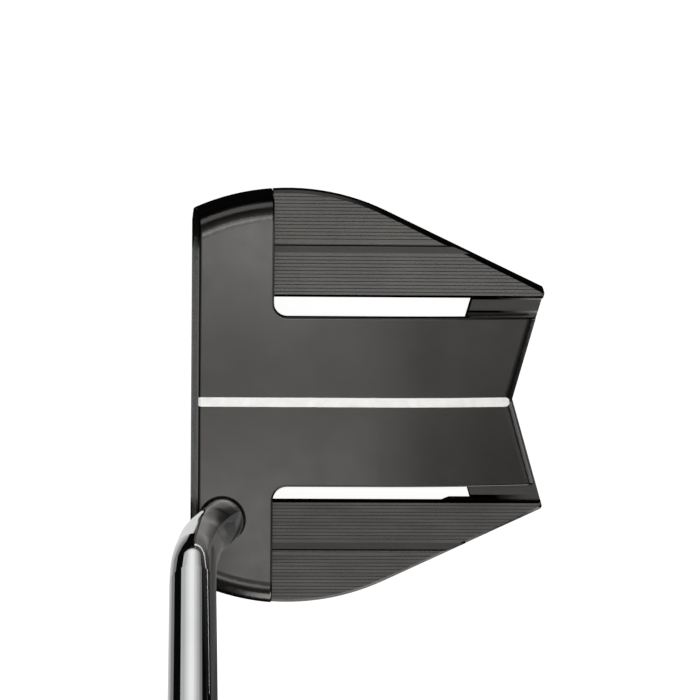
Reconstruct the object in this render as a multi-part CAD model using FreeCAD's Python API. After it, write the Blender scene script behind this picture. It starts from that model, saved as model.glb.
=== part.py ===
"""Mallet putter, right-handed, standing at address.

Millimetres. +X runs from the face towards the back of the head, +Y from heel to toe,
+Z up. Pieces are modelled with X = 0 at the leading edge and moved at the end, so that
the origin is on the flat sole under the middle of the front bar.
"""
import FreeCAD, Part
import math
import os

# ---- driving dimensions: head plan -------------------------------------------------
LEADING_TO_ORIGIN = 9.0          # origin lies this far behind the leading edge
HEAD_HEIGHT = 25.0
BAR_DEPTH = 17.5                 # front to back of the front bar
ARC_RADIUS = 50.0                # toe and heel flanks are arcs of this radius
ARC_X = 21.0                     # widest place, behind the leading edge
HALF_WIDTH = 45.6                # centre line to the widest place
FLANK_ANGLE = 25.4               # degrees: straight rear flanks against the centre line
V_NOTCH_X = 70.6                 # vertex of the V at the back
V_SLOPE = 0.29                   # the V runs back this much per mm sideways
TIP_RADIUS = 0.9
TIP_AREA = (74.5, 23.0)          # the wing tips lie beyond this X and |Y|
OUTLINE_FRONT_X = -6.0           # the plan outline is drawn from here, then cut to the face

# ---- driving dimensions: head section ----------------------------------------------
WIDEST_Z = 5.0                   # height of the widest outline
SOLE_INSET = 2.4                 # outline is this much smaller at the sole
TOP_INSET = 2.0                  # and this much smaller at the top of the bar
WING_TOP_INSET = 1.3             # the wings' flanks are steeper
LOFT_ANGLE = 3.5
LEADING_Z = 2.2                  # height where the face starts
ROLL_RADIUS = 5.0                # rounded toe and heel ends of the bar
ROLL_END_Y = 38.0                # the rounded ends lie beyond this |Y|
TOP_LINE_RADIUS = 0.7            # top edge of the face
BODY_EDGE_RADIUS = 0.5           # back of the bar and sides of the tongue

# ---- driving dimensions: tongue ----------------------------------------------------
TONGUE_HALF = 18.3
TONGUE_THICK = 5.5
TONGUE_FLAT_END = 40.0           # the top is level up to here, then curves down
TONGUE_CURVE = 120.0
TONGUE_ROLL = 2.8                # rolled rear edge
TONGUE_SPAN = (BAR_DEPTH - 3.0, 80.0)    # the tongue is drawn from inside the bar to past its end
SLOT_CORNER = 3.0
TONGUE_NOTCH_X = 69.3
FOOT = (60.0, 68.5, 15.0)        # rear foot under the tongue: X from, X to, half width
FOOT_OVERLAP = 1.5               # the foot runs this far into the tongue

# ---- driving dimensions: wing frame ------------------------------------------------
WING_INNER = 22.1
WING_EDGE = (0.6, 1.3)           # width and height of the bevel on the inner edge
WING_Z = 15.7                    # top of the wing at its inner edge
WING_FALL = 0.22                 # the wing falls outwards this much per mm
STEP_Y = 33.5                    # raised outer strip starts here
STEP_HIGH = 0.7
STEP_BEVEL = 0.35                # the step's face leans back at 45 degrees
STEP_RAMP = 1.45                 # width of the gentler ramp that leads up to it
STEP_ROUND = (0.3, 5)            # length of the rounding on each side of the crest, facets in it
WING_PLATE = 5.0                 # thickness of the thin inner part
WING_WALL = 1.1                  # upright part of the thin plate's inner edge
RIM_INNER = 31.0                 # full-depth rim starts here
RIM_SLANT = 1.6                  # the rim's inner wall leans in this much under the plate
FRAME_SOLE_Z = 0.6
BLOCK_FRONT = (54.0, 57.3)       # the wings are full depth behind this X: at the top, at the sole
BLOCK_DRAFT = 0.8                # the full-depth inner wall leans out this much at the sole
CROSSBAR_X = 55.1
CROSSBAR_Z = 4.0
LEDGE_Z = 9.6
LEDGE_STEP = (18.6, 0.5)         # half width and depth of the recess under the tongue
LEDGE_FOOT = 0.6                 # bevel between the ledge and the wing
BUTT_GAP = 0.05                  # between the wings and the back of the bar
GROOVE_PITCH = 0.76
GROOVE = (0.34, 0.022)           # width and depth of the milled lines
GROOVE_OFFSET = 0.8              # share of the pitch from the inner edge to the first line
GROOVE_OVER = 0.02               # the cutter of the lines stands this far above the wing
OUTER_BEVEL = 0.65
WING_REAR_X = 85.0               # sections of the wings are drawn to here, then cut to the outline
WING_OVER = 3.0                  # and this far outside the widest place

# ---- driving dimensions: fasteners, weights, insert --------------------------------
LUG = (8.5, 28.5, 40.3, 5.0)     # front lugs: X from, |Y| from, |Y| to, thickness
LUG_SCREWS = ((12.5, 31.4), (12.5, 37.4))
LUG_REAR = BAR_DEPTH + 8.0       # the lugs reach back into the rims
FRONT_SCREW_Z = FRAME_SOLE_Z + 0.8      # outer face of the screw heads
REAR_SCREW_Z = CROSSBAR_Z + 0.6
REAR_SCREW_X = 64.5
REAR_SCREW_Y = 10.0
SCREW_SHANK_R = 1.25
SCREW_HEAD = (2.2, 1.6)          # radius and height of the countersunk-pocket head
FRONT_SCREW_LENGTH = 9.0
REAR_SCREW_LENGTH = 12.0
SCREW_KEY = (1.3, 1.1)           # hexagon socket: half across flats, depth
SCREW_BEVEL = 0.25
SCREW_PLAY = 0.1
THREAD_PLAY = 0.02
WEIGHT_AT = (44.0, 32.0)
WEIGHT_R = 5.8
WEIGHT_HEIGHT = 7.0
WEIGHT_BEVEL = 0.4
WEIGHT_KEY = (2.5, 3.0)          # hexagon socket: half across flats, depth
WASHER = (5.5, 3.2, 0.6)         # outer radius, inner radius and thickness
BOSS_R = 7.6
INSERT = (70.0, 15.6, 3.4)       # width, height, thickness
INSERT_CORNER = 4.0
INSERT_Z = 2.8                   # lower edge of the insert, up the face
INSERT_PLAY = 0.05
INSERT_GROOVE = (0.5, 0.25)      # width and depth of the face lines
INSERT_PAD = 0.8
INSERT_GROOVES = 9
LINE_HALF = 1.0                  # alignment line: half width and depth
LINE_DEPTH = 0.35
LINE_SPAN = (0.9, 68.7)          # X from and to
LINE_DROP = 0.45                 # its front end stops this far down the rounded top edge
PAD_THICK = 1.0

# ---- driving dimensions: shaft and grip --------------------------------------------
LIE = 70.0
CLUB_LENGTH = 864.0
TIP_R = 4.7
TUBE_WALL = 0.55
BORE_PLAY = 0.06
BORE_CHAMFER = 0.4
BORE_END_PLAY = 0.1
PLUG = (12.0, 0.5)               # tip plug: length and end bevel
PLUG_PLAY = 0.02
SHAFT_ROUTE = ((6.6, -25.4, 7.0), (6.6, -25.4, 29.5), (2.4, -27.5, 40.0), (0.3, -28.9, 70.0))
BEND_RADII = (20.0, 34.0, 60.0)
STEP_START = 235.0               # first step of the shaft, from the ground along it
STEP_PITCH = 25.0
STEP_COUNT = 14
STEP_GROWTH = 0.2
STEP_CONE = 1.6
BUTT_INSET = 4.0
LEAN = 90.0 - LIE                # degrees from upright
GRIP_LENGTH = 267.0
GRIP_TAPE = 0.3
GRIP_FIT = 0.03
TAPE_START = 3.0                 # the tape starts this far inside the grip's lower end
GRIP_SQUARENESS = 8.0            # how sharply the flat front turns into the round back
# along the grip from its lower end: place, half width, front flat, depth of the back
GRIP_SECTIONS = ((0.0, 9.6, 8.7, 9.6), (10.0, 10.6, 9.3, 10.4), (80.0, 11.6, 9.8, 11.4),
                 (150.0, 12.4, 10.2, 12.6), (205.0, 13.2, 10.6, 15.4), (240.0, 13.9, 11.0, 16.8),
                 (257.0, 13.9, 11.0, 15.8), (263.0, 13.4, 10.6, 14.8))
GRIP_POINTS = 24
CAP_HEIGHT = 4.0
CAP_ROWS = ((0.0, 0.0), (0.6, 0.5), (1.0, 2.6))      # share of the height, inset of the section
CAP_SPIGOT = 7.0
CAP_SPIGOT_PLAY = 0.1
CAP_VENT_R = 1.4

BIG = 200.0                      # reach of cutting tools past the object
OVER = 1.0                       # short overshoot of cutting tools and overlap of joined blocks
NEAR = 0.01                      # tolerance for picking edges
LOOSE = 0.6                      # wider tolerance, for edges that are not parallel to an axis


# ---- small helpers -----------------------------------------------------------------
def vec(x, y, z):
    return FreeCAD.Vector(x, y, z)


def polygon_face(points):
    return Part.Face(Part.makePolygon(list(points) + [points[0]]))


def box(x0, x1, y0, y1, z0, z1):
    return Part.makeBox(x1 - x0, y1 - y0, z1 - z0, vec(x0, y0, z0))


def cylinder(radius, height, x, y, z):
    return Part.makeCylinder(radius, height, vec(x, y, z), vec(0, 0, 1))


def mirrored(shape):
    return shape.mirror(vec(0, 0, 0), vec(0, 1, 0))


def both_sides(shape):
    return shape.fuse(mirrored(shape))


def edges_where(shape, test):
    """Edges that pass a test of their middle point and of the edge itself."""
    found = []
    for edge in shape.Edges:
        middle = edge.valueAt((edge.FirstParameter + edge.LastParameter) / 2)
        if test(middle, edge):
            found.append(edge)
    return found


# ---- head outline ------------------------------------------------------------------
def rear_line_x(y, notch_x):
    return notch_x + V_SLOPE * abs(y)


def outline_wire(inset, z):
    """Plan outline of the whole head, made smaller by inset, at height z."""
    centre_y = HALF_WIDTH - ARC_RADIUS
    radius = ARC_RADIUS - inset
    angle = math.radians(FLANK_ANGLE)
    notch = V_NOTCH_X - inset * math.hypot(1.0, V_SLOPE)
    front_y = centre_y + math.sqrt(radius ** 2 - (ARC_X - OUTLINE_FRONT_X) ** 2)
    tangent = (ARC_X + radius * math.sin(angle), centre_y + radius * math.cos(angle))
    slope = math.tan(angle)
    tip_y = (tangent[1] + slope * (tangent[0] - notch)) / (1.0 + slope * V_SLOPE)
    tip = (rear_line_x(tip_y, notch), tip_y)
    half = angle / 2 + math.asin((ARC_X - OUTLINE_FRONT_X) / radius) / 2
    middle_angle = angle - half
    middle = (ARC_X + radius * math.sin(middle_angle), centre_y + radius * math.cos(middle_angle))

    def side(sign):
        front = vec(OUTLINE_FRONT_X, sign * front_y, z)
        on_arc = vec(middle[0], sign * middle[1], z)
        end = vec(tangent[0], sign * tangent[1], z)
        corner = vec(tip[0], sign * tip[1], z)
        back = vec(notch, 0, z)
        arc = Part.Arc(front, on_arc, end).toShape()
        return arc, Part.makeLine(end, corner), Part.makeLine(corner, back)

    toe = side(1)
    heel = side(-1)
    front_line = Part.makeLine(vec(OUTLINE_FRONT_X, -front_y, z),
                               vec(OUTLINE_FRONT_X, front_y, z))
    return Part.Wire([front_line, toe[0], toe[1], toe[2], heel[2], heel[1], heel[0]])


def head_envelope(top_inset):
    """Solid of the whole head: undercut below the widest line, drafted above it."""
    lower = Part.makeLoft([outline_wire(SOLE_INSET, 0), outline_wire(0, WIDEST_Z)], True, True)
    upper = Part.makeLoft([outline_wire(0, WIDEST_Z), outline_wire(top_inset, HEAD_HEIGHT)],
                          True, True)
    return lower.fuse(upper).removeSplitter()


def on_face(shape):
    """Move a shape built on the plane X = 0 onto the lofted face."""
    placed = shape.copy()
    placed.rotate(vec(0, 0, 0), vec(0, 1, 0), LOFT_ANGLE)
    placed.translate(vec(0, 0, LEADING_Z))
    return placed


# ---- head body: front bar and tongue -----------------------------------------------
def tongue_profile(low_z, curve_radius, x0, x1):
    """Side view curve of one tongue surface: level, then an arc falling to the rear."""
    start = vec(x0, 0, low_z)
    bend = vec(TONGUE_FLAT_END, 0, low_z)

    def arc_point(x):
        run = x - TONGUE_FLAT_END
        return vec(x, 0, low_z - curve_radius + math.sqrt(curve_radius ** 2 - run ** 2))

    arc = Part.Arc(bend, arc_point((TONGUE_FLAT_END + x1) / 2), arc_point(x1)).toShape()
    return [Part.makeLine(start, bend), arc]


def tongue_plate():
    x0, x1 = TONGUE_SPAN
    top = tongue_profile(HEAD_HEIGHT, TONGUE_CURVE, x0, x1)
    under = tongue_profile(HEAD_HEIGHT - TONGUE_THICK, TONGUE_CURVE - TONGUE_THICK, x0, x1)
    ends = [Part.makeLine(top[1].Vertexes[1].Point, under[1].Vertexes[1].Point),
            Part.makeLine(under[0].Vertexes[0].Point, top[0].Vertexes[0].Point)]
    section = Part.Face(Part.Wire(Part.__sortEdges__(top + under + ends)))
    slab = section.extrude(vec(0, 2 * TONGUE_HALF, 0))
    slab.translate(vec(0, -TONGUE_HALF, 0))
    corner_x = rear_line_x(TONGUE_HALF, TONGUE_NOTCH_X)
    plan = polygon_face([vec(0, -TONGUE_HALF, 0), vec(corner_x, -TONGUE_HALF, 0),
                         vec(TONGUE_NOTCH_X, 0, 0), vec(corner_x, TONGUE_HALF, 0),
                         vec(0, TONGUE_HALF, 0)])
    return slab.common(plan.extrude(vec(0, 0, HEAD_HEIGHT + OVER)))


def front_bar():
    bar = head_envelope(TOP_INSET).common(box(-OVER, BAR_DEPTH, -BIG, BIG, 0, HEAD_HEIGHT))
    bar = bar.cut(on_face(box(-BIG, 0, -BIG, BIG, -BIG, BIG)))
    ends = edges_where(bar, lambda p, e: p.z > HEAD_HEIGHT - NEAR and abs(p.y) > ROLL_END_Y)
    return bar.makeFillet(ROLL_RADIUS, ends)


def body_blank():
    """Bar, tongue and rear foot as one casting, with its edges rounded."""
    blank = front_bar().fuse(tongue_plate()).removeSplitter()

    def at_side(p):
        return abs(abs(p.y) - TONGUE_HALF) < NEAR

    corners = edges_where(blank, lambda p, e: abs(p.x - BAR_DEPTH) < NEAR and at_side(p)
                          and e.Length < TONGUE_THICK + OVER)
    blank = blank.makeFillet(SLOT_CORNER, corners)
    rear_x = rear_line_x(TONGUE_HALF / 2, TONGUE_NOTCH_X)
    rear = edges_where(blank, lambda p, e: abs(p.x - rear_x) < LOOSE and abs(p.y) > SLOT_CORNER
                       and p.z > HEAD_HEIGHT - TONGUE_THICK - OVER)
    blank = blank.makeFillet(TONGUE_ROLL, rear)
    top_z = HEAD_HEIGHT - NEAR
    level = edges_where(blank, lambda p, e: p.z > top_z and p.x > BAR_DEPTH / 2
                        and abs(p.y) > TONGUE_HALF - SLOT_CORNER)
    curved = edges_where(blank, lambda p, e: at_side(p) and p.z > HEAD_HEIGHT - TONGUE_THICK
                         and p.x > TONGUE_FLAT_END)
    blank = blank.makeFillet(BODY_EDGE_RADIUS, level + curved)
    top_line = edges_where(blank, lambda p, e: p.z > top_z and p.x < BAR_DEPTH / 4)
    return blank.makeFillet(TOP_LINE_RADIUS, top_line)


def foot_block():
    low = LEDGE_Z - LEDGE_STEP[1] + PAD_THICK
    high = HEAD_HEIGHT - TONGUE_THICK - FOOT_OVERLAP
    return box(FOOT[0], FOOT[1], -FOOT[2], FOOT[2], low, high)


def line_plan():
    """Plan of the alignment line: a long strip with round ends."""
    front = LINE_SPAN[0] + LINE_HALF
    rear = LINE_SPAN[1] - LINE_HALF
    plan = box(front, rear, -LINE_HALF, LINE_HALF, 0, 2 * HEAD_HEIGHT)
    for x in (front, rear):
        plan = plan.fuse(cylinder(LINE_HALF, 2 * HEAD_HEIGHT, x, 0, 0))
    return plan.removeSplitter()


def alignment_line(blank):
    """Paint-filled strip: the top skin of the body within the line's plan."""
    lowered = blank.copy()
    lowered.translate(vec(0, 0, -LINE_DEPTH))
    face = box(-BIG, BAR_DEPTH, -BIG, BIG, -BIG, HEAD_HEIGHT - LINE_DROP)
    return blank.common(line_plan()).cut(lowered).cut(face)


# ---- fasteners ---------------------------------------------------------------------
def hexagon(half_flats, z):
    reach = half_flats / math.cos(math.pi / 6)
    corners = [vec(reach * math.cos(i * math.pi / 3), reach * math.sin(i * math.pi / 3), z)
               for i in range(6)]
    return polygon_face(corners)


def screw(x, y, z, length):
    """Cap screw standing upwards, its head's outer face at height z."""
    head = cylinder(SCREW_HEAD[0], SCREW_HEAD[1], 0, 0, 0)
    shank = cylinder(SCREW_SHANK_R, length, 0, 0, 0)
    rim = [e for e in head.Edges if e.Closed and e.CenterOfMass.z < NEAR]
    head = head.makeChamfer(SCREW_BEVEL, rim)
    key = hexagon(SCREW_KEY[0], -OVER).extrude(vec(0, 0, SCREW_KEY[1] + OVER))
    whole = head.fuse(shank).removeSplitter().cut(key)
    whole.translate(vec(x, y, z))
    return whole


def screw_hole(x, y, z, through):
    """Clearance for the head, and for the shank up to the given height."""
    pocket = cylinder(SCREW_HEAD[0] + SCREW_PLAY, SCREW_HEAD[1] + z + OVER, x, y, -OVER)
    return pocket.fuse(cylinder(SCREW_SHANK_R + SCREW_PLAY, through - z, x, y, z))


def front_screw_places():
    return [(x, sign * y) for x, y in LUG_SCREWS for sign in (1, -1)]


def rear_screw_places():
    return [(REAR_SCREW_X, REAR_SCREW_Y), (REAR_SCREW_X, -REAR_SCREW_Y)]


def screws(places, z, length):
    return Part.makeCompound([screw(x, y, z, length) for x, y in places])


def tapped_holes(places, z, length):
    return Part.makeCompound([cylinder(SCREW_SHANK_R + THREAD_PLAY, length + OVER, x, y, z)
                              for x, y in places])


# ---- wing frame --------------------------------------------------------------------
def wing_top(y):
    """Height of the inner part of a wing's top at a distance from the centre line."""
    return WING_Z - WING_FALL * (y - WING_INNER - WING_EDGE[0])


def extrude_section(points, x0, x1):
    """Extrude a closed section of (y, z) points from x0 to x1."""
    face = polygon_face([vec(x0, y, z) for y, z in points])
    return face.extrude(vec(x1 - x0, 0, 0))


def sloped_blank(lift):
    """One side of the head behind the bar, full depth, under a plain sloped top."""
    inner = WING_INNER - LEDGE_FOOT
    outer = HALF_WIDTH + WING_OVER
    section = [(inner, -OVER), (inner, wing_top(inner) + lift),
               (outer, wing_top(outer) + lift), (outer, -OVER)]
    block = extrude_section(section, BAR_DEPTH + BUTT_GAP, WING_REAR_X)
    block = block.common(head_envelope(WING_TOP_INSET))
    tip = edges_where(block, lambda p, e: p.x > TIP_AREA[0] and p.y > TIP_AREA[1]
                      and abs(e.tangentAt(0.5).z) > LOOSE)
    block = block.makeFillet(TIP_RADIUS, tip)
    outside = edges_where(block, lambda p, e: p.y > inner + LOOSE and p.x > BAR_DEPTH + OVER
                          and abs(p.z - wing_top(p.y) - lift) < 2 * NEAR)
    return block.makeChamfer(OUTER_BEVEL, outside)


def wing_room():
    """Space that the wing fills: thin plate and deep rim in front, full depth at the back."""
    edge_wide, edge_high = WING_EDGE
    outer = HALF_WIDTH + WING_OVER
    top = wing_top(WING_INNER + edge_wide)
    bevelled = [(WING_INNER, top - edge_high), (WING_INNER + edge_wide, top),
                (WING_INNER + edge_wide, HEAD_HEIGHT), (outer, HEAD_HEIGHT), (outer, FRAME_SOLE_Z)]
    under = WING_Z - WING_PLATE
    undercut = WING_PLATE - edge_high - WING_WALL
    thin = bevelled + [(RIM_INNER, FRAME_SOLE_Z), (RIM_INNER, under - RIM_SLANT),
                       (WING_INNER + undercut, under), (WING_INNER, under + undercut)]
    front_top, front_low = BLOCK_FRONT
    deep = extrude_section(bevelled + [(WING_INNER + BLOCK_DRAFT, FRAME_SOLE_Z)],
                           front_top, WING_REAR_X)
    ahead = [vec(front_top - OVER, 0, -OVER), vec(front_low, 0, -OVER),
             vec(front_low, 0, FRAME_SOLE_Z), vec(front_top, 0, WING_Z),
             vec(front_top - OVER, 0, WING_Z)]
    deep = deep.cut(polygon_face(ahead).extrude(vec(0, BIG, 0)))
    return extrude_section(thin, BAR_DEPTH, BLOCK_FRONT[1] + 4 * OVER).fuse(deep)


def step_crest():
    """Points of the rounding between the step's 45-degree face and the strip's sloped top."""
    reach, facets = STEP_ROUND
    face_tilt = -math.pi / 4
    top_tilt = math.atan(WING_FALL)
    radius = reach / math.tan((top_tilt - face_tilt) / 2)
    crest_z = wing_top(STEP_Y) + STEP_HIGH
    centre_y = STEP_Y + reach * math.cos(top_tilt) - radius * math.sin(top_tilt)
    centre_z = crest_z - reach * math.sin(top_tilt) - radius * math.cos(top_tilt)
    points = []
    for index in range(facets + 1):
        tilt = face_tilt + (top_tilt - face_tilt) * index / facets
        points.append((centre_y + radius * math.sin(tilt), centre_z + radius * math.cos(tilt)))
    return points


def strip_room():
    """Space above the ramp and step that only the raised outer strip fills."""
    bevel = STEP_Y - STEP_BEVEL
    ramp = bevel - STEP_RAMP
    outer = HALF_WIDTH + WING_OVER
    low = FRAME_SOLE_Z + 3 * OVER
    section = [(ramp, wing_top(ramp)), (bevel, wing_top(STEP_Y) + STEP_HIGH - STEP_BEVEL)]
    section += step_crest()
    section += [(outer, wing_top(outer) + STEP_HIGH + OVER), (outer, low),
                (RIM_INNER + OVER, low), (RIM_INNER + OVER, WING_Z - WING_PLATE)]
    return extrude_section(section, BAR_DEPTH, WING_REAR_X)


def wing_grooves():
    """Fine milled lines along the tops of the wings."""
    wide, deep = GROOVE
    grooves = []
    count = int((HALF_WIDTH - WING_INNER) / GROOVE_PITCH)
    for index in range(count):
        y = WING_INNER + WING_EDGE[0] + GROOVE_PITCH * (index + GROOVE_OFFSET)
        on_inner = y < STEP_Y - STEP_BEVEL - STEP_RAMP - wide
        if not on_inner and y < STEP_Y + GROOVE_PITCH:
            continue
        z = wing_top(y) + (0 if on_inner else STEP_HIGH)
        rise = WING_FALL * wide / 2
        section = [(y - wide / 2, z + rise + GROOVE_OVER), (y + wide / 2, z - rise + GROOVE_OVER),
                   (y, z - deep)]
        grooves.append(extrude_section(section, BAR_DEPTH - OVER, WING_REAR_X))
    return Part.makeCompound(grooves)


def wing_side():
    low = sloped_blank(0).common(wing_room())
    high = sloped_blank(STEP_HIGH).common(strip_room())
    boss = cylinder(BOSS_R, WING_Z - WING_PLATE, WEIGHT_AT[0], WEIGHT_AT[1], FRAME_SOLE_Z)
    side = low.fuse(high).fuse(boss.common(head_envelope(WING_TOP_INSET)))
    return side.removeSplitter().cut(wing_grooves())


def v_prism(low, high):
    """Full-width V-shaped block from the crossbar's front to behind the head."""
    reach = WING_INNER + OVER

    def on_line(notch_x, y):
        return vec(rear_line_x(y, notch_x), y, low)

    front = [on_line(CROSSBAR_X, y) for y in (-reach, 0, reach)]
    rear = [on_line(V_NOTCH_X + 3 * OVER, y) for y in (reach, 0, -reach)]
    return polygon_face(front + rear).extrude(vec(0, 0, high - low))


def crossbar():
    """Bar that joins the wings under the tongue, with a recess for the damper."""
    half, deep = LEDGE_STEP
    recess = [(-half - deep, LEDGE_Z), (-half, LEDGE_Z - deep), (half, LEDGE_Z - deep),
              (half + deep, LEDGE_Z), (half + deep, LEDGE_Z + OVER), (-half - deep, LEDGE_Z + OVER)]
    bar = v_prism(CROSSBAR_Z, LEDGE_Z).cut(extrude_section(recess, 0, WING_REAR_X))
    inner = WING_INNER - LEDGE_FOOT
    outer = WING_INNER + OVER
    foot = [(inner, LEDGE_Z), (outer, LEDGE_Z + LEDGE_FOOT + OVER), (outer, LEDGE_Z)]
    feet = both_sides(extrude_section(foot, 0, WING_REAR_X))
    bar = bar.fuse(feet.common(v_prism(LEDGE_Z, WING_Z)))
    return bar.common(head_envelope(WING_TOP_INSET))


def lug():
    return box(LUG[0], LUG_REAR, LUG[1], LUG[2], FRAME_SOLE_Z, FRAME_SOLE_Z + LUG[3])


def wing_frame():
    frame = both_sides(wing_side()).fuse(crossbar())
    frame = frame.fuse(both_sides(lug())).removeSplitter()
    for sign in (1, -1):
        x, y = WEIGHT_AT[0], sign * WEIGHT_AT[1]
        depth = FRAME_SOLE_Z + WEIGHT_HEIGHT + WASHER[2]
        frame = frame.cut(cylinder(WEIGHT_R + SCREW_PLAY, depth + OVER, x, y, -OVER))
    for x, y in front_screw_places():
        frame = frame.cut(screw_hole(x, y, FRONT_SCREW_Z, FRAME_SOLE_Z + LUG[3] + OVER))
    for x, y in rear_screw_places():
        frame = frame.cut(screw_hole(x, y, REAR_SCREW_Z, LEDGE_Z + OVER))
    return frame


# ---- face insert -------------------------------------------------------------------
def insert_block(grow, thickness, start):
    """Plate with round corners on the face, from a depth behind the face plane."""
    width, height, _ = INSERT
    half = width / 2 + grow
    low = INSERT_Z - grow
    block = box(start, start + thickness, -half, half, low, low + height + 2 * grow)
    corners = edges_where(block, lambda p, e: abs(p.x - start - thickness / 2) < NEAR)
    return block.makeFillet(INSERT_CORNER + grow, corners)


def face_insert():
    plate = insert_block(0, INSERT[2], 0)
    wide, deep = INSERT_GROOVE
    pitch = INSERT[1] / (INSERT_GROOVES + 1)
    for index in range(INSERT_GROOVES):
        z = INSERT_Z + pitch * (index + 1)
        plate = plate.cut(box(-OVER, deep, -BIG, BIG, z - wide / 2, z + wide / 2))
    return on_face(plate)


def insert_pad():
    return on_face(insert_block(-INSERT_PLAY, INSERT_PAD, INSERT[2]))


def insert_recess():
    depth = INSERT[2] + INSERT_PAD + INSERT_PLAY
    return on_face(insert_block(INSERT_PLAY, depth + OVER, -OVER))


# ---- head body ---------------------------------------------------------------------
def shaft_bore():
    x, y, low = SHAFT_ROUTE[0]
    radius = TIP_R + BORE_PLAY
    hole = cylinder(radius, 2 * HEAD_HEIGHT, x, y, low - BORE_END_PLAY)
    mouth = Part.makeCone(radius, radius + BORE_CHAMFER + OVER, BORE_CHAMFER + OVER,
                          vec(x, y, HEAD_HEIGHT - BORE_CHAMFER))
    return hole.fuse(mouth)


def lug_pocket():
    play = SCREW_PLAY
    return box(LUG[0] - play, LUG_REAR, LUG[1] - play, LUG[2] + play,
               -OVER, FRAME_SOLE_Z + LUG[3] + play)


def head_body(blank, line):
    body = blank.fuse(foot_block()).removeSplitter()
    body = body.cut(line).cut(insert_recess()).cut(shaft_bore())
    body = body.cut(lug_pocket()).cut(mirrored(lug_pocket()))
    body = body.cut(tapped_holes(front_screw_places(), FRONT_SCREW_Z, FRONT_SCREW_LENGTH))
    return body.cut(tapped_holes(rear_screw_places(), REAR_SCREW_Z, REAR_SCREW_LENGTH))


def rear_damper():
    """Soft pad in the crossbar's recess, under the tongue's foot."""
    low = LEDGE_Z - LEDGE_STEP[1]
    pad = box(FOOT[0], FOOT[1], -FOOT[2], FOOT[2], low, low + PAD_THICK)
    for x, y in rear_screw_places():
        pad = pad.cut(cylinder(SCREW_SHANK_R + SCREW_PLAY, 3 * PAD_THICK, x, y, low - PAD_THICK))
    return pad


# ---- sole weights ------------------------------------------------------------------
def sole_weight(sign):
    x, y = WEIGHT_AT[0], sign * WEIGHT_AT[1]
    body = cylinder(WEIGHT_R, WEIGHT_HEIGHT, 0, 0, 0)
    body = body.makeChamfer(WEIGHT_BEVEL, [e for e in body.Edges if len(e.Vertexes) == 1])
    body = body.cut(hexagon(WEIGHT_KEY[0], -OVER).extrude(vec(0, 0, WEIGHT_KEY[1] + OVER)))
    body.translate(vec(x, y, FRAME_SOLE_Z))
    return body


def weight_washers():
    outer, inner, thick = WASHER
    x, y = WEIGHT_AT
    z = FRAME_SOLE_Z + WEIGHT_HEIGHT
    ring = cylinder(outer, thick, x, y, z).cut(cylinder(inner, 3 * thick, x, y, z - thick))
    return Part.makeCompound([ring, mirrored(ring)])


# ---- shaft -------------------------------------------------------------------------
def ground_point():
    """Where the straight shaft's axis meets the ground."""
    x, y, z = SHAFT_ROUTE[-1]
    return vec(x, y + z * math.tan(math.radians(LEAN)), 0)


def on_lie(shape):
    """Move a shape built along +Z from the ground onto the leaning axis of the shaft."""
    placed = shape.copy()
    placed.rotate(vec(0, 0, 0), vec(1, 0, 0), LEAN)
    placed.translate(ground_point())
    return placed


def rounded_route(points, radii):
    """Straight runs joined by tangent arcs."""
    edges = []
    start = points[0]
    for corner, following, radius in zip(points[1:-1], points[2:], radii):
        arriving = (corner - start).normalize()
        leaving = (following - corner).normalize()
        turn = arriving.getAngle(leaving)
        trim = radius * math.tan(turn / 2)
        first = corner - arriving * trim
        last = corner + leaving * trim
        inwards = (leaving - arriving).normalize()
        middle = corner + inwards * (radius / math.cos(turn / 2) - radius)
        edges.append(Part.makeLine(start, first))
        edges.append(Part.Arc(first, middle, last).toShape())
        start = last
    edges.append(Part.makeLine(start, points[-1]))
    return Part.Wire(edges)


def bent_rod(radius):
    end = on_lie(Part.Vertex(vec(0, 0, STEP_START))).Point
    points = [vec(*p) for p in SHAFT_ROUTE] + [end]
    route = rounded_route(points, BEND_RADII)
    circle = Part.Wire(Part.makeCircle(radius, points[0], vec(0, 0, 1)))
    return route.makePipeShell([circle], True, False)


def stepped_rod(radius):
    """Upper part of the shaft: short cones step it up from the tip's radius."""
    outline = [vec(0, 0, STEP_START), vec(radius, 0, STEP_START)]
    for index in range(STEP_COUNT):
        z = STEP_START + STEP_PITCH * (index + 1) - STEP_CONE
        outline.append(vec(radius, 0, z))
        radius += STEP_GROWTH
        outline.append(vec(radius, 0, z + STEP_CONE))
    top = CLUB_LENGTH - BUTT_INSET
    outline += [vec(radius, 0, top), vec(0, 0, top)]
    return on_lie(polygon_face(outline).revolve(vec(0, 0, 0), vec(0, 0, 1), 360))


def butt_radius():
    return TIP_R + STEP_COUNT * STEP_GROWTH


def shaft():
    outer = bent_rod(TIP_R).fuse(stepped_rod(TIP_R))
    inner = bent_rod(TIP_R - TUBE_WALL).fuse(stepped_rod(TIP_R - TUBE_WALL))
    return outer.cut(inner).removeSplitter()


def shaft_tip_plug():
    x, y, z = SHAFT_ROUTE[0]
    length, bevel = PLUG
    plug = cylinder(TIP_R - TUBE_WALL - PLUG_PLAY, length, x, y, z + bevel)
    return plug.makeChamfer(bevel, [e for e in plug.Edges if len(e.Vertexes) == 1])


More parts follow.
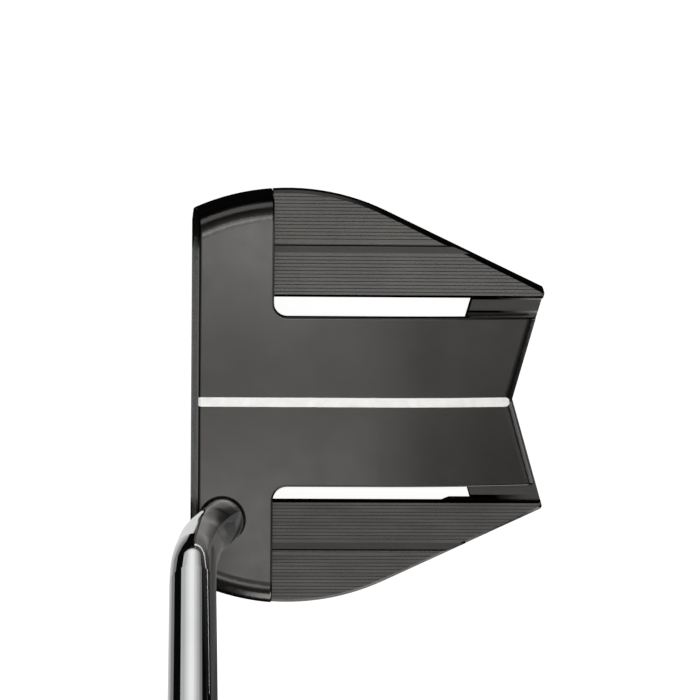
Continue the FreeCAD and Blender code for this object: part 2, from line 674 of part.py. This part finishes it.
# ---- grip --------------------------------------------------------------------------
def grip_section(place, half_width, flat, back, shrink=0.0):
    """Closed curve: a flat front on +Y turning into a round, deeper back."""
    points = []
    for index in range(GRIP_POINTS):
        angle = 2 * math.pi * index / GRIP_POINTS
        side = math.sin(angle)
        ahead = math.cos(angle)
        depth = half_width if ahead > 0 else back
        radius = 1 / math.hypot(side / half_width, ahead / depth)
        if ahead > NEAR:
            power = GRIP_SQUARENESS
            radius = (radius ** -power + (flat / ahead) ** -power) ** (-1 / power)
        radius -= shrink
        points.append(vec(radius * side, radius * ahead, place))
    curve = Part.BSplineCurve()
    curve.interpolate(Points=points, PeriodicFlag=True)
    return Part.Wire(curve.toShape())


def grip():
    low = CLUB_LENGTH - GRIP_LENGTH
    sections = [grip_section(low + place, wide, flat, back)
                for place, wide, flat, back in GRIP_SECTIONS]
    outside = Part.makeLoft(sections, True, False)
    bore = butt_radius() + GRIP_TAPE + 2 * GRIP_FIT
    inside = Part.makeCylinder(bore, GRIP_LENGTH + 2 * OVER, vec(0, 0, low - OVER))
    return on_lie(outside.cut(inside))


def grip_tape():
    low = CLUB_LENGTH - GRIP_LENGTH + TAPE_START
    length = CLUB_LENGTH - BUTT_INSET - low
    outer = Part.makeCylinder(butt_radius() + GRIP_TAPE + GRIP_FIT, length, vec(0, 0, low))
    inner = Part.makeCylinder(butt_radius() + GRIP_FIT, length + 2 * OVER, vec(0, 0, low - OVER))
    return on_lie(outer.cut(inner))


def grip_cap():
    low = CLUB_LENGTH - CAP_HEIGHT
    _, wide, flat, back = GRIP_SECTIONS[-1]
    sections = [grip_section(low + share * CAP_HEIGHT, wide, flat, back, inset)
                for share, inset in CAP_ROWS]
    cap = Part.makeLoft(sections, True, False)
    radius = butt_radius() - TUBE_WALL - CAP_SPIGOT_PLAY
    spigot = Part.makeCylinder(radius, CAP_SPIGOT, vec(0, 0, low - CAP_SPIGOT))
    vent = Part.makeCylinder(CAP_VENT_R, 4 * CAP_SPIGOT, vec(0, 0, low - 2 * CAP_SPIGOT))
    return on_lie(cap.fuse(spigot).cut(vent))


# ---- the parts ---------------------------------------------------------------------
def all_parts():
    blank = body_blank()
    line = alignment_line(blank)
    return {
        "head_body": head_body(blank, line),
        "alignment_line": line,
        "wing_frame": wing_frame(),
        "face_insert": face_insert(),
        "insert_pad": insert_pad(),
        "rear_damper_pad": rear_damper(),
        "front_frame_screws": screws(front_screw_places(), FRONT_SCREW_Z, FRONT_SCREW_LENGTH),
        "rear_frame_screws": screws(rear_screw_places(), REAR_SCREW_Z, REAR_SCREW_LENGTH),
        "toe_weight": sole_weight(1),
        "heel_weight": sole_weight(-1),
        "weight_washers": weight_washers(),
        "shaft": shaft(),
        "shaft_tip_plug": shaft_tip_plug(),
        "grip": grip(),
        "grip_tape": grip_tape(),
        "grip_cap": grip_cap(),
    }


def main():
    os.makedirs("parts", exist_ok=True)
    for name, shape in all_parts().items():
        shape.translate(vec(-LEADING_TO_ORIGIN, 0, 0))
        shape.exportStep("parts/" + name + ".step")
        print(name, len(shape.Solids), shape.isValid(), round(shape.Volume, 1))


main()
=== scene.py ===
import math

import bpy
from mathutils import Euler, Matrix, Vector
from mathutils.bvhtree import BVHTree


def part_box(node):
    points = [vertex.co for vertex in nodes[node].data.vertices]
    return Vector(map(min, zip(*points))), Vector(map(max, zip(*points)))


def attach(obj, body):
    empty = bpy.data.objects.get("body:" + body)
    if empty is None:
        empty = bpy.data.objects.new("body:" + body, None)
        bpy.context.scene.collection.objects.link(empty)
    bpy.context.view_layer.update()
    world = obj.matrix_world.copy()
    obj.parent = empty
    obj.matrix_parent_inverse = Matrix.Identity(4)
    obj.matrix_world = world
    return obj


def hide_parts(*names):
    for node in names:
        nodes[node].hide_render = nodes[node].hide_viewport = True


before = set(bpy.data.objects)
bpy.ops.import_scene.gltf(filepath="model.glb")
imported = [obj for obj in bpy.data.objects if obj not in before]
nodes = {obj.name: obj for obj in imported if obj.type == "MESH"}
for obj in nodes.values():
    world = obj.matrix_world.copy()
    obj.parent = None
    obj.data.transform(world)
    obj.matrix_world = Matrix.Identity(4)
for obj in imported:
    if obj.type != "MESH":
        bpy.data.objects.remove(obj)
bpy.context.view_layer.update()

MM = 0.001                       # metres
FULL_TURN = 2 * math.pi


# ---- camera ------------------------------------------------------------------------
CAMERA_PLACE = (-10.25, 62.53, 747.7)
CAMERA_TILT = (-4.072, -2.742, 0.52)      # degrees about X, Y and Z, from looking straight down
FOCAL_LENGTH = 173.9
SENSOR_WIDTH = 36.0
CLIP_NEAR = 0.01                          # metres
CLIP_FAR = 20.0                           # metres


def add_camera():
    """Camera nearly straight above the head, as the player looks down on it."""
    data = bpy.data.cameras.new("address_camera")
    data.sensor_width = SENSOR_WIDTH
    data.lens = FOCAL_LENGTH
    data.clip_start = CLIP_NEAR
    data.clip_end = CLIP_FAR
    camera = bpy.data.objects.new("address_camera", data)
    camera.location = Vector(CAMERA_PLACE) * MM
    camera.rotation_euler = Euler([math.radians(a) for a in CAMERA_TILT], "XYZ")
    bpy.context.scene.collection.objects.link(camera)
    bpy.context.scene.camera = camera


# ---- node helpers ------------------------------------------------------------------
NOISE_LOW = 0.3                  # most values of a noise texture lie between these two
NOISE_HIGH = 0.7
RING_SCALE = math.pi / 10        # scale of a wave texture that gives one ring a metre
RING_DISTORTION = 0.4
MIX_DARK = 6                     # sockets of a colour Mix node
MIX_LIGHT = 7
MIX_RESULT = 2


class Shader:
    """A material being built: one Principled shader, and nodes added to feed it."""

    def __init__(self, name):
        self.material = bpy.data.materials.new(name)
        self.material.use_nodes = True
        self.tree = self.material.node_tree
        self.main = self.tree.nodes["Principled BSDF"]
        self.place = self.tree.nodes.new("ShaderNodeTexCoord").outputs["Object"]

    def add(self, kind, **settings):
        node = self.tree.nodes.new(kind)
        for key, value in settings.items():
            setattr(node, key, value)
        return node

    def link(self, source, target):
        self.tree.links.new(source, target)

    def set(self, **values):
        """Set the main shader's own sockets. An underscore stands for a space in a name."""
        for key, value in values.items():
            self.main.inputs[key.replace("_", " ")].default_value = value

    def noise(self, size_mm, detail, scale=(1, 1, 1)):
        """Noise of a given size. A small scale on an axis draws it out along that axis."""
        node = self.add("ShaderNodeTexNoise")
        node.inputs["Scale"].default_value = 1.0 / (size_mm * MM)
        node.inputs["Detail"].default_value = detail
        mapping = self.add("ShaderNodeMapping")
        mapping.inputs["Scale"].default_value = scale
        self.link(self.place, mapping.inputs["Vector"])
        self.link(mapping.outputs["Vector"], node.inputs["Vector"])
        return node.outputs["Fac"]

    def remap(self, source, low, high):
        """A noise spread over the values from low to high."""
        node = self.add("ShaderNodeMapRange")
        node.inputs["From Min"].default_value = NOISE_LOW
        node.inputs["From Max"].default_value = NOISE_HIGH
        node.inputs["To Min"].default_value = low
        node.inputs["To Max"].default_value = high
        self.link(source, node.inputs["Value"])
        return node.outputs["Result"]

    def colour(self, source, tones):
        """Base colour that follows a noise from the dark tone to the light one."""
        dark, light = tones
        factor = self.remap(source, 0.0, 1.0)
        node = self.add("ShaderNodeMix", data_type="RGBA")
        self.link(factor, node.inputs["Factor"])
        node.inputs[MIX_DARK].default_value = (*dark, 1.0)
        node.inputs[MIX_LIGHT].default_value = (*light, 1.0)
        self.link(node.outputs[MIX_RESULT], self.main.inputs["Base Color"])

    def gloss(self, source, low, high):
        """Roughness that follows a noise from low to high."""
        self.link(self.remap(source, low, high), self.main.inputs["Roughness"])

    def rings(self, centre, pitch_mm):
        """Turned marks: rings round an upright axis through centre."""
        mapping = self.add("ShaderNodeMapping")
        mapping.inputs["Location"].default_value = -centre
        self.link(self.place, mapping.inputs["Vector"])
        node = self.add("ShaderNodeTexWave", wave_type="RINGS", rings_direction="Z")
        node.inputs["Scale"].default_value = RING_SCALE / (pitch_mm * MM)
        node.inputs["Distortion"].default_value = RING_DISTORTION
        self.link(mapping.outputs["Vector"], node.inputs["Vector"])
        return node.outputs["Fac"]

    def bump(self, height, depth_mm, strength, under=None):
        """Bump of the surface, on top of an earlier bump where there is one."""
        node = self.add("ShaderNodeBump")
        node.inputs["Strength"].default_value = strength
        node.inputs["Distance"].default_value = depth_mm * MM
        self.link(height, node.inputs["Height"])
        if under is not None:
            self.link(under, node.inputs["Normal"])
        self.link(node.outputs["Normal"], self.main.inputs["Normal"])
        return node.outputs["Normal"]


def dress(node_name, material):
    """Give a CAD node one material."""
    slots = nodes[node_name].data.materials
    slots.clear()
    slots.append(material)


def middle(node_name):
    """Middle of a CAD node's box."""
    low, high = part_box(node_name)
    return (Vector(low) + Vector(high)) / 2


# ---- materials ---------------------------------------------------------------------
# darkest and lightest base colour
BODY_TONES = ((0.100, 0.097, 0.093), (0.118, 0.114, 0.109))
WING_TONES = ((0.085, 0.083, 0.079), (0.100, 0.097, 0.092))
INSERT_TONES = ((0.22, 0.22, 0.225), (0.34, 0.34, 0.345))
WEIGHT_TONES = ((0.30, 0.30, 0.305), (0.42, 0.42, 0.425))
SCREW_TONES = ((0.07, 0.07, 0.075), (0.2, 0.195, 0.19))
CHROME_TONES = ((0.78, 0.785, 0.79), (0.84, 0.845, 0.85))
PAINT_TONES = ((0.80, 0.80, 0.77), (0.90, 0.90, 0.875))
PAD_TONES = ((0.02, 0.02, 0.021), (0.035, 0.035, 0.036))
PLUG_TONES = ((0.55, 0.55, 0.52), (0.7, 0.7, 0.67))
TAPE_TONES = ((0.62, 0.56, 0.42), (0.74, 0.69, 0.55))
CAP_TONES = ((0.022, 0.022, 0.024), (0.04, 0.04, 0.042))
GRIP_TONES = ((0.016, 0.016, 0.018), (0.032, 0.032, 0.034))


def blasted_metal(name, tones, rough):
    """Bead-blasted casting under a dark coat: fine grain, faint clouds, uneven gloss."""
    m = Shader(name)
    m.colour(m.noise(size_mm=14.0, detail=4.0), tones)
    m.set(Metallic=1.0)
    m.gloss(m.noise(size_mm=5.0, detail=5.0), low=rough - 0.03, high=rough + 0.03)
    grain = m.bump(m.noise(size_mm=0.3, detail=2.0), depth_mm=0.02, strength=0.12)
    m.bump(m.noise(size_mm=9.0, detail=2.0), depth_mm=0.05, strength=0.08, under=grain)
    return m.material


def milled_metal(name, tones, rough):
    """Coated casting with faint cutter lines running front to back."""
    m = Shader(name)
    m.colour(m.noise(size_mm=10.0, detail=4.0), tones)
    m.set(Metallic=1.0)
    m.gloss(m.noise(size_mm=1.2, detail=4.0, scale=(0.08, 1, 1)), low=rough - 0.05, high=rough + 0.05)
    lines = m.bump(m.noise(size_mm=0.5, detail=3.0, scale=(0.03, 1, 1)), depth_mm=0.03, strength=0.25)
    m.bump(m.noise(size_mm=0.3, detail=2.0), depth_mm=0.02, strength=0.12, under=lines)
    return m.material


def insert_metal():
    """Steel face plate: fine upright brushing, slightly darker where balls have struck."""
    m = Shader("insert_steel")
    m.colour(m.noise(size_mm=7.0, detail=4.0), INSERT_TONES)
    m.set(Metallic=1.0)
    m.gloss(m.noise(size_mm=1.0, detail=4.0, scale=(1, 1, 0.1)), low=0.24, high=0.38)
    brushed = m.bump(m.noise(size_mm=0.4, detail=3.0, scale=(1, 1, 0.04)), depth_mm=0.03, strength=0.3)
    m.bump(m.noise(size_mm=2.5, detail=3.0), depth_mm=0.03, strength=0.15, under=brushed)
    return m.material


def turned_metal(name, centre, tones, rough, pitch_mm):
    """Turned steel with tool rings round an upright axis."""
    m = Shader(name)
    m.colour(m.noise(size_mm=3.0, detail=4.0), tones)
    m.set(Metallic=1.0)
    m.gloss(m.noise(size_mm=1.0, detail=4.0), low=rough - 0.05, high=rough + 0.07)
    tool = m.bump(m.rings(centre, pitch_mm), depth_mm=0.02, strength=0.3)
    m.bump(m.noise(size_mm=0.25, detail=2.0), depth_mm=0.01, strength=0.15, under=tool)
    return m.material


def screw_metal():
    """Black-oxide steel, rubbed lighter in patches."""
    m = Shader("screw_steel")
    m.colour(m.noise(size_mm=1.1, detail=5.0), SCREW_TONES)
    m.set(Metallic=1.0)
    m.gloss(m.noise(size_mm=0.8, detail=4.0), low=0.28, high=0.42)
    m.bump(m.noise(size_mm=0.25, detail=2.0), depth_mm=0.02, strength=0.3)
    return m.material


def chrome():
    """Bright plating with a trace of haze and wiping marks along the tube."""
    m = Shader("mirror_chrome")
    m.colour(m.noise(size_mm=40.0, detail=3.0), CHROME_TONES)
    m.set(Metallic=1.0)
    m.gloss(m.noise(size_mm=6.0, detail=5.0, scale=(1, 1, 0.15)), low=0.025, high=0.06)
    m.bump(m.noise(size_mm=30.0, detail=2.0), depth_mm=0.02, strength=0.1)
    return m.material


def line_paint():
    """Filled paint: off-white, faintly mottled, slightly sunk brush texture."""
    m = Shader("line_paint")
    m.colour(m.noise(size_mm=2.0, detail=5.0), PAINT_TONES)
    m.gloss(m.noise(size_mm=1.5, detail=4.0), low=0.38, high=0.52)
    m.bump(m.noise(size_mm=0.35, detail=3.0, scale=(0.4, 1, 1)), depth_mm=0.04, strength=0.3)
    return m.material


def moulded(name, tones, rough, grain_mm, depth_mm):
    """Moulded rubber or plastic: fine spark-eroded grain and uneven sheen."""
    m = Shader(name)
    m.colour(m.noise(size_mm=6.0, detail=4.0), tones)
    m.gloss(m.noise(size_mm=2.5, detail=4.0), low=rough - 0.06, high=rough + 0.06)
    grain = m.bump(m.noise(size_mm=grain_mm, detail=3.0), depth_mm=depth_mm, strength=0.5)
    m.bump(m.noise(size_mm=5.0, detail=2.0), depth_mm=0.05, strength=0.1, under=grain)
    return m.material


def paper_tape():
    """Double-sided tape: cream paper with a fine crepe across it."""
    m = Shader("tape_paper")
    m.colour(m.noise(size_mm=3.0, detail=5.0), TAPE_TONES)
    m.gloss(m.noise(size_mm=2.0, detail=3.0), low=0.65, high=0.8)
    m.bump(m.noise(size_mm=0.8, detail=4.0, scale=(0.3, 0.3, 1)), depth_mm=0.08, strength=0.5)
    return m.material


# ---- the shaft's axis --------------------------------------------------------------
LEAN = math.radians(20.0)        # from upright, towards the heel
ALONG = Vector((0.0, -math.sin(LEAN), math.cos(LEAN)))      # up the shaft
ACROSS = Vector((0.0, math.cos(LEAN), math.sin(LEAN)))      # out of its top side
SIDE = Vector((1.0, 0.0, 0.0))                              # out of its rear side


def shaft_axis():
    """Middle of the tape's lower end, which is on the axis, and the tape's radius, in metres."""
    tape_low, tape_high = (Vector(c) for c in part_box("grip_tape"))
    x = (tape_low.x + tape_high.x) / 2
    radius = (tape_high.x - tape_low.x) / 2
    foot = Vector((x, tape_high.y - radius * math.cos(LEAN), tape_low.z + radius * math.sin(LEAN)))
    return foot, radius


def outwards(angle):
    """Direction out of the axis, at an angle from the top side towards the rear."""
    return ACROSS * math.cos(angle) + SIDE * math.sin(angle)


# ---- grip --------------------------------------------------------------------------
GRIP_ROW = 0.75                  # along the grip between rows of vertices
GRIP_SIDES = 144                 # vertices round the grip
GROOVE_PITCH = 6.0               # between the crossing grooves, along the grip
GROOVE_TURNS = 12                # grooves of each hand round the grip
GROOVE_HALF = 0.14               # half width of a groove, as a share of the pitch
GROOVE_DEPTH = 0.3
PLAIN_ENDS = (16.0, 14.0)        # left smooth at the lower and upper end
FADE_LENGTH = 3.0                # over which the pattern reaches its full depth
FRONT_HALF = 0.5                 # radians each side of the flat front's middle with straight lines
FRONT_MARGIN = 0.12              # radians left plain beside the straight lines
FRONT_PITCH = 3.0                # between the lines across the flat front
EDGE_ROUND = 1.2                 # rounding of the lower lip
CAST_DISTANCE = 50.0             # from the axis, well outside the grip
CAST_INSET = 0.05                # keeps the first and last row's rays on the solid
BORE_GAP = 0.02                  # between the bore and the tape
SHARP_ANGLE = 50.0               # degrees


def groove(share):
    """Depth share of a rounded groove, 1 on its line and 0 away from it."""
    away = abs(share - round(share)) / GROOVE_HALF
    return max(0.0, 1.0 - away * away) if away < 1.0 else 0.0


def grip_relief(place, angle, length):
    """How far the surface is cut in, in mm, at a place along and an angle round the grip."""
    low, high = PLAIN_ENDS
    from_low = max(0.0, (place - low) / FADE_LENGTH)
    from_high = max(0.0, (length - high - place) / FADE_LENGTH)
    fade = min(1.0, from_low, from_high)
    if fade <= 0.0:
        return 0.0
    if abs(angle) < FRONT_HALF:
        return GROOVE_DEPTH * fade * groove(place / FRONT_PITCH)
    if abs(angle) < FRONT_HALF + FRONT_MARGIN:
        return 0.0
    turn = GROOVE_TURNS * angle / FULL_TURN
    step = place / GROOVE_PITCH
    return GROOVE_DEPTH * fade * max(groove(step + turn), groove(step - turn))


def grip_angles():
    """Angle of each vertex of a ring, from 0 at the top side up to a full turn."""
    return [FULL_TURN * index / GRIP_SIDES for index in range(GRIP_SIDES)]


def outer_points(foot, low, length):
    """Rings up the outside: cast onto the CAD solid, then cut in by the pattern and the lip."""
    tree = BVHTree.FromObject(nodes["grip"], bpy.context.evaluated_depsgraph_get())
    rows = int(length / GRIP_ROW)
    points = []
    for row in range(rows + 1):
        place = length * row / rows
        cast_at = low + min(max(place, CAST_INSET), length - CAST_INSET) * MM
        centre = foot + ALONG * cast_at
        lip = max(0.0, 1.0 - place / EDGE_ROUND)
        rounding = EDGE_ROUND * (1.0 - math.sqrt(1.0 - lip * lip))
        for angle in grip_angles():
            if angle > math.pi:
                angle -= FULL_TURN
            out = outwards(angle)
            hit = tree.ray_cast(centre + out * CAST_DISTANCE * MM, -out)[0]
            radius = (hit - centre).dot(out) / MM
            radius -= grip_relief(place, angle, length) + rounding
            points.append(foot + ALONG * (low + place * MM) + out * radius * MM)
    return points


def bore_points(foot, bore, low, high):
    """The two ends of the bore, upper end first."""
    return [foot + ALONG * place + outwards(angle) * (bore + BORE_GAP * MM)
            for place in (high, low) for angle in grip_angles()]


def grip_faces(rings):
    """Quads from each ring to the next, and from the last ring back to the first."""
    faces = []
    for ring in range(rings):
        here = ring * GRIP_SIDES
        there = (ring + 1) % rings * GRIP_SIDES
        for index in range(GRIP_SIDES):
            following = (index + 1) % GRIP_SIDES
            faces.append((here + index, there + index, there + following, here + following))
    return faces


def grip_piece():
    """The grip with its moulded pattern, in place of the plain CAD solid."""
    foot, bore = shaft_axis()
    reach = [(v.co - foot).dot(ALONG) for v in nodes["grip"].data.vertices]
    low, high = min(reach), max(reach)
    points = outer_points(foot, low, (high - low) / MM) + bore_points(foot, bore, low, high)
    mesh = bpy.data.meshes.new("putter_grip")
    mesh.from_pydata(points, [], grip_faces(len(points) // GRIP_SIDES))
    mesh.validate()
    mesh.shade_smooth()
    mesh.set_sharp_from_angle(angle=math.radians(SHARP_ANGLE))
    piece = bpy.data.objects.new("putter_grip", mesh)
    bpy.context.scene.collection.objects.link(piece)
    mesh.materials.append(moulded("grip_rubber", GRIP_TONES, rough=0.68, grain_mm=0.45, depth_mm=0.08))
    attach(piece, "root")
    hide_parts("grip")


# ---- stage -------------------------------------------------------------------------
STAGE_RADIUS = 9.0               # metres
FLOOR_Z = -0.0004                # metres, just under the sole
DOME_RINGS = 12
DOME_SIDES = 48
STAGE_COLOUR = (0.9, 0.9, 0.9, 1.0)
STAGE_ROUGHNESS = 0.9
GLOW_COLOUR = (1.0, 1.0, 1.0, 1.0)
GLOW = 0.95


def stage_piece(name, points, faces, material):
    """A piece of the stage. Metal does not mirror it, as if the club were held clear of it."""
    mesh = bpy.data.meshes.new(name)
    mesh.from_pydata(points, [], faces)
    piece = bpy.data.objects.new(name, mesh)
    piece.visible_glossy = False
    piece.visible_shadow = False
    bpy.context.scene.collection.objects.link(piece)
    mesh.materials.append(material)
    return piece


def dome_points():
    """Rings of points up a half sphere, from the floor."""
    points = []
    for ring in range(DOME_RINGS):
        rise = math.pi / 2 * ring / DOME_RINGS
        for index in range(DOME_SIDES):
            turn = FULL_TURN * index / DOME_SIDES
            points.append((STAGE_RADIUS * math.cos(rise) * math.cos(turn),
                           STAGE_RADIUS * math.cos(rise) * math.sin(turn),
                           STAGE_RADIUS * math.sin(rise)))
    return points


def dome_faces():
    """Quads between the rings, and one face that closes the top."""
    last_ring = (DOME_RINGS - 1) * DOME_SIDES
    faces = []
    for here in range(0, last_ring, DOME_SIDES):
        there = here + DOME_SIDES
        for index in range(DOME_SIDES):
            following = (index + 1) % DOME_SIDES
            faces.append((here + index, here + following, there + following, there + index))
    faces.append(tuple(range(last_ring, last_ring + DOME_SIDES)))
    return faces


def add_stage():
    """Pale glowing table under a wide pale dome. Only the camera sees the dome."""
    m = Shader("pale_stage")
    m.set(Base_Color=STAGE_COLOUR, Roughness=STAGE_ROUGHNESS)
    m.set(Emission_Color=GLOW_COLOUR, Emission_Strength=GLOW)
    size = STAGE_RADIUS
    corners = [(-size, -size, FLOOR_Z), (size, -size, FLOOR_Z),
               (size, size, FLOOR_Z), (-size, size, FLOOR_Z)]
    stage_piece("floor", corners, [(0, 1, 2, 3)], m.material)
    stage_piece("dome", dome_points(), dome_faces(), m.material).visible_diffuse = False


# ---- lights ------------------------------------------------------------------------
# name, place, aimed at, size, brightness
STUDIO = (("top_box", (-350, 0, 1500), (0, 0, 0), (900, 1500), 0.33),
          ("heel_card", (300, -900, 0), (35, -30, 13), (900, 600), 2.2),
          ("toe_card", (-150, 850, 60), (0, 30, 13), (900, 420), 0.7),
          ("rear_box", (800, 0, 800), (60, 0, 15), (150, 1200), 0.5))
HEAD_METALS = ("head_body", "wing_frame")
# the same, then the only nodes that the light touches
ACCENTS = (("key_strip", (35, 338, 1160), (35, 30, 13), (800, 90), 4.0, HEAD_METALS),
           ("toe_box", (35, 520, 1080), (35, 30, 13), (700, 200), 1.1, HEAD_METALS),
           ("heel_box", (35, -740, 1000), (35, -30, 13), (700, 300), 1.1, HEAD_METALS),
           ("rear_card", (900, 0, -350), (60, 0, 15), (400, 900), 0.8, HEAD_METALS),
           ("toe_lamp", (14, 34, 280), (8, 34, 25), (50, 50), 1.1, ("head_body",)),
           ("heel_lamp", (14, -60, 280), (8, -34, 25), (50, 50), 0.7, ("head_body",)),
           ("face_card", (-45, 0, -30), (-9, 0, 12), (60, 110), 0.2, ("head_body", "face_insert")),
           ("line_lamp", (40, 0, 1000), (40, 0, 25), (600, 600), 6.2, ("alignment_line",)))
STRIP_DISTANCE = 13.7            # from the tube's axis
STRIP_TOP = 595.0                # upper end of every strip, along the axis from the ground
# lower end along the axis, then start and end in degrees round the tube from its top side
# towards the rear, then brightness
SHAFT_STRIPS = ((33, -51, 39, 0.22), (33, -51, 30, 0.14), (34, -51, 24, 0.14), (36, -33, 17, 0.12),
                (38, -27, 12, 0.12), (40, -20, 6, 0.12), (42, -13, 3, 0.10),
                (-40, -179, -90, 0.22), (-40, -179, -110, 0.20), (-40, -179, -122, 0.14),
                (-40, -179, -137, 0.16), (33, 84, 178, 0.05))
# upward part of a direction, 0 at the horizon and below and 1 straight up, then grey
WORLD_STOPS = ((0.0, 0.003), (0.5, 0.05), (0.85, 0.2), (1.0, 0.35))


def add_panel(name, place_mm, aim_mm, size_mm, radiance, only=None):
    """Soft rectangular light of a given radiance. With only, it lights just those objects."""
    data = bpy.data.lights.new(name, "AREA")
    data.shape = "RECTANGLE"
    data.size = size_mm[0] * MM
    data.size_y = size_mm[1] * MM
    data.energy = radiance * math.pi * data.size * data.size_y
    light = bpy.data.objects.new(name, data)
    light.location = Vector(place_mm) * MM
    away = light.location - Vector(aim_mm) * MM
    light.rotation_euler = away.to_track_quat("Z", "Y").to_euler()
    light.visible_camera = False
    bpy.context.scene.collection.objects.link(light)
    if only:
        receivers = bpy.data.collections.new(name + "_receivers")
        for obj in only:
            receivers.objects.link(obj)
        light.light_linking.receiver_collection = receivers
    return light


def add_world():
    """Studio surroundings: bright overhead, dark towards the horizon and below."""
    world = bpy.data.worlds.new("studio")
    world.use_nodes = True
    tree = world.node_tree
    place = tree.nodes.new("ShaderNodeTexCoord")
    split = tree.nodes.new("ShaderNodeSeparateXYZ")
    ramp = tree.nodes.new("ShaderNodeValToRGB")
    tree.links.new(place.outputs["Generated"], split.inputs["Vector"])
    tree.links.new(split.outputs["Z"], ramp.inputs["Fac"])
    tree.links.new(ramp.outputs["Color"], tree.nodes["Background"].inputs["Color"])
    ramp.color_ramp.interpolation = "EASE"
    for place_up, _ in WORLD_STOPS[1:-1]:
        ramp.color_ramp.elements.new(place_up)
    for element, (place_up, grey) in zip(ramp.color_ramp.elements, WORLD_STOPS):
        element.position = place_up
        element.color = (grey, grey, grey, 1.0)
    tree.nodes["Background"].inputs["Strength"].default_value = 1.0
    bpy.context.scene.world = world
    bpy.context.scene.view_settings.view_transform = "Standard"


def add_shaft_strips():
    """Strip lights along the tube, one inside another, which give its chrome soft long bands."""
    foot, _ = shaft_axis()
    ground = foot - ALONG * (foot.z / ALONG.z)
    for number, (low, start, end, radiance) in enumerate(SHAFT_STRIPS):
        length = STRIP_TOP - low
        centre = ground + ALONG * (low + length / 2) * MM
        half_width = STRIP_DISTANCE * math.tan(math.radians(end - start) / 2)
        out = outwards(math.radians(start + end) / 2)
        place = centre + out * STRIP_DISTANCE * MM
        light = add_panel("shaft_strip_%d" % number, place / MM, (0, 0, 0),
                          (2 * half_width, length), radiance, [nodes["shaft"]])
        # turned to face the tube, with its long side along it
        light.rotation_euler = Matrix((ALONG.cross(out), ALONG, out)).transposed().to_euler()


# ---- the scene ---------------------------------------------------------------------
add_camera()
add_stage()
add_world()
for panel in STUDIO:
    add_panel(*panel)
for *panel, lit in ACCENTS:
    add_panel(*panel, only=[nodes[name] for name in lit])
add_shaft_strips()

dress("head_body", blasted_metal("body_metal", BODY_TONES, rough=0.21))
dress("wing_frame", milled_metal("wing_metal", WING_TONES, rough=0.22))
dress("alignment_line", line_paint())
dress("face_insert", insert_metal())
pad = moulded("pad_rubber", PAD_TONES, rough=0.8, grain_mm=0.4, depth_mm=0.05)
for soft in ("insert_pad", "rear_damper_pad", "weight_washers"):
    dress(soft, pad)
screws = screw_metal()
for screw_set in ("front_frame_screws", "rear_frame_screws"):
    dress(screw_set, screws)
for weight in ("toe_weight", "heel_weight"):
    dress(weight, turned_metal(weight + "_steel", middle(weight), WEIGHT_TONES, rough=0.26, pitch_mm=0.35))
dress("shaft", chrome())
dress("shaft_tip_plug", moulded("plug_plastic", PLUG_TONES, rough=0.55, grain_mm=0.5, depth_mm=0.03))
dress("grip_tape", paper_tape())
dress("grip_cap", moulded("cap_plastic", CAP_TONES, rough=0.5, grain_mm=0.4, depth_mm=0.04))
grip_piece()
